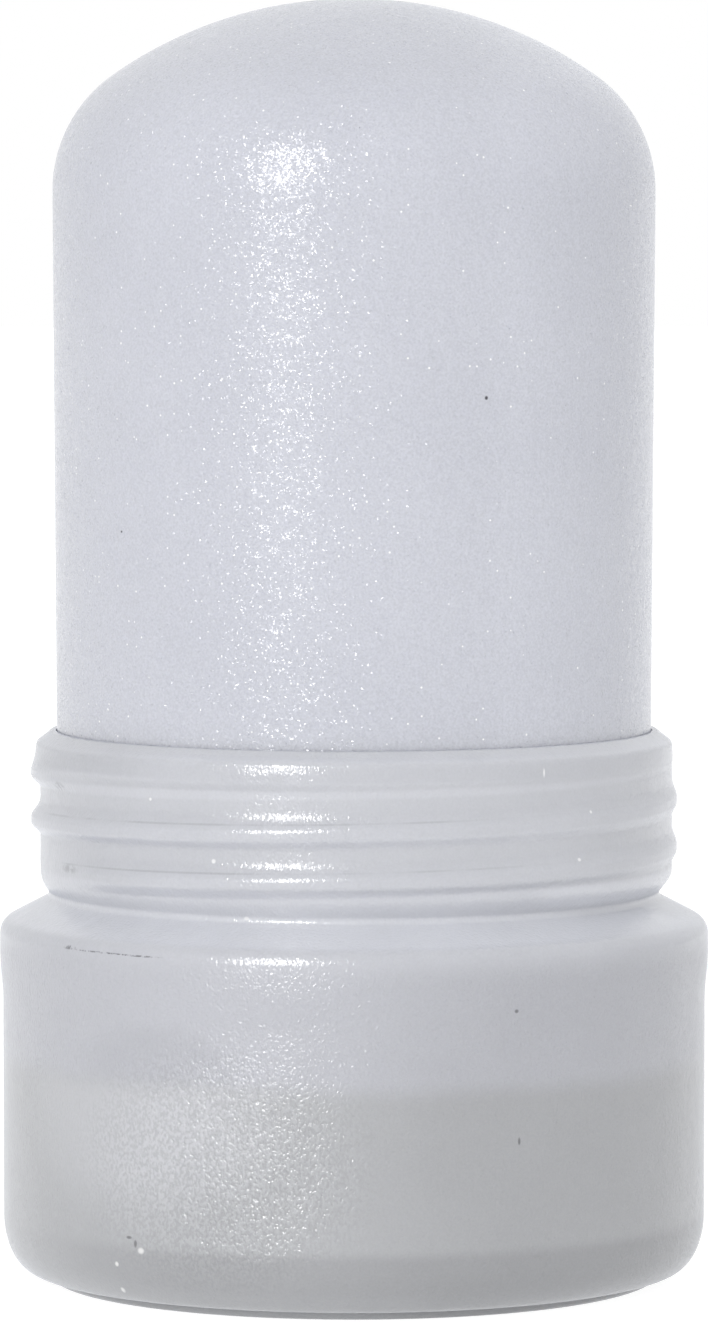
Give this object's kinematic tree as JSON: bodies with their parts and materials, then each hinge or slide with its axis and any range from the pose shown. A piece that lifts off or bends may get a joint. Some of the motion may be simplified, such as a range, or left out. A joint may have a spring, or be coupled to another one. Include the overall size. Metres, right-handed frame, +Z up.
{
  "type": "alum deodorant stone",
  "caption": "Domed crystal deodorant stone in a round, hollow plastic base with a screw-threaded neck, a groove and a sloping shoulder, shown without its cap.",
  "frame": {"origin": "centre of the standing ring's underside, on the axis of the base and the stone", "axes": "+Z up along the axis, from the foot to the top of the dome; -Y is the side that faces the picture's camera"},
  "size_m": [0.045, 0.045, 0.0811],
  "materials": {
    "alum": "fine-grained, waxy and faintly translucent",
    "frosted_plastic": "frosted, translucent natural plastic with fine orange peel"
  },
  "bodies": {
    "root": {"alum_stone": "alum", "base_cup": "frosted_plastic"}
  },
  "joints": []
}
